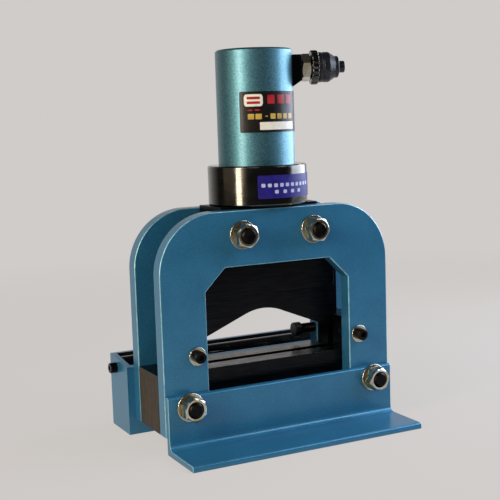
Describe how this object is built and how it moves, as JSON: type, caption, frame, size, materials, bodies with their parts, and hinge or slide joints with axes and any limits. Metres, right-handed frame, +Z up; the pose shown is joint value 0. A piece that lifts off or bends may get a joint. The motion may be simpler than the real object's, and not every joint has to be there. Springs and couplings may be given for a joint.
{
  "type": "hydraulic busbar cutter",
  "caption": "Bench-top hydraulic cutter head: a spring-returned ram between two tied arch plates drives an arched blade into a slotted base to shear flat busbar.",
  "frame": {"origin": "on the floor at the centre of the machine's footprint; the ram axis stands 5.45 mm behind it", "axes": "+X along the plates towards the coupler's side, -Y towards the front foot, +Z up along the ram"},
  "size_m": [0.314, 0.2132, 0.427],
  "materials": {
    "plate_paint": "semi-gloss blue machine enamel",
    "barrel_paint": "hammered metallic enamel, blue-green",
    "black_steel": "black oxide, oiled",
    "black_plastic": "moulded black nylon",
    "mill_steel": "mill scale, oiled, light rust",
    "ground_steel": "ground tool steel",
    "zinc_steel": "bright zinc plate",
    "spring_steel": "drawn spring wire",
    "bronze": "turned bronze",
    "seal_rubber": "moulded nitrile",
    "label_black": "printed film, black",
    "label_blue": "printed film, dark blue"
  },
  "bodies": {
    "frame": {"front_plate": "plate_paint", "back_plate": "plate_paint", "foot_angle": "plate_paint", "rear_trough": "plate_paint", "base_block": "mill_steel", "lower_blade_front": "ground_steel", "lower_blade_rear": "ground_steel", "lower_blade_screw_front_left": "black_steel", "lower_blade_screw_front_right": "black_steel", "lower_blade_screw_rear_left": "black_steel", "lower_blade_screw_rear_right": "black_steel", "guide_left": "mill_steel", "guide_right": "mill_steel", "guide_washer_left": "zinc_steel", "guide_washer_right": "zinc_steel", "guide_screw_left": "black_steel", "guide_screw_right": "black_steel", "tie_bolt_upper_left": "zinc_steel", "tie_bolt_upper_right": "zinc_steel", "tie_bolt_lower_left": "zinc_steel", "tie_bolt_lower_right": "zinc_steel", "tie_nut_upper_left": "zinc_steel", "tie_nut_upper_right": "zinc_steel", "tie_nut_lower_left": "zinc_steel", "tie_nut_lower_right": "zinc_steel", "head_washer_upper_left": "zinc_steel", "head_washer_upper_right": "zinc_steel", "head_washer_lower_left": "zinc_steel", "head_washer_lower_right": "zinc_steel", "nut_washer_upper_left": "zinc_steel", "nut_washer_upper_right": "zinc_steel", "nut_washer_lower_left": "zinc_steel", "nut_washer_lower_right": "zinc_steel", "top_block": "black_steel", "return_spring": "spring_steel", "rod_guide": "bronze", "rod_wiper": "seal_rubber", "cylinder_barrel": "barrel_paint", "collar": "black_steel", "cylinder_label": "label_black", "collar_label": "label_blue", "port_boss": "black_steel", "port_adapter": "zinc_steel", "coupler_body": "black_steel", "roller_axle": "black_steel", "axle_nut": "zinc_steel"},
    "ram": {"upper_blade": "black_steel", "blade_holder": "black_steel", "blade_screw_left": "black_steel", "blade_screw_right": "black_steel", "piston_rod": "ground_steel", "piston": "ground_steel", "piston_seal": "seal_rubber"},
    "support_roller": {"roller": "ground_steel"},
    "clamp_shoe": {"clamp_pad": "black_plastic"},
    "clamp_spindle": {"clamp_screw": "black_steel", "clamp_handle": "black_plastic"},
    "lock_sleeve": {"coupler_sleeve": "black_steel"},
    "cap": {"dust_cap": "black_plastic"},
    "poppet": {"coupler_poppet": "zinc_steel"}
  },
  "joints": [
    {"name": "ram_stroke", "type": "slide", "parent": "frame", "child": "ram", "axis": [0, 0, -1], "range_m": [0, 0.06], "stiffness_N_per_m": 3000, "springref_m": -0.03, "deforming": ["return_spring"]},
    {"name": "roller_spin", "type": "hinge", "parent": "frame", "child": "support_roller", "pos_m": [0, 0.0875, 0.071], "axis": [1, 0, 0], "continuous": true},
    {"name": "clamp_travel", "type": "slide", "parent": "frame", "child": "clamp_shoe", "axis": [1, 0, 0], "range_m": [0, 0.016]},
    {"name": "clamp_turn", "type": "hinge", "parent": "clamp_shoe", "child": "clamp_spindle", "pos_m": [0.1, 0.04208, 0.098], "axis": [1, 0, 0], "range_deg": [0, 3292]},
    {"name": "sleeve_spin", "type": "hinge", "parent": "frame", "child": "lock_sleeve", "pos_m": [0.06296, -0.01747, 0.406], "axis": [0.9397, -0.342, 0], "continuous": true},
    {"name": "cap_pull", "type": "slide", "parent": "frame", "child": "cap", "axis": [0.9397, -0.342, 0], "range_m": [0, 0.03]},
    {"name": "poppet_press", "type": "slide", "parent": "frame", "child": "poppet", "axis": [-0.9397, 0.342, 0], "range_m": [0, 0.003], "stiffness_N_per_m": 2000, "springref_m": -0.001}
  ],
  "couplings": [
    {"joint": "clamp_turn", "follows": "clamp_travel", "rad_per_m": 3590.4}
  ]
}
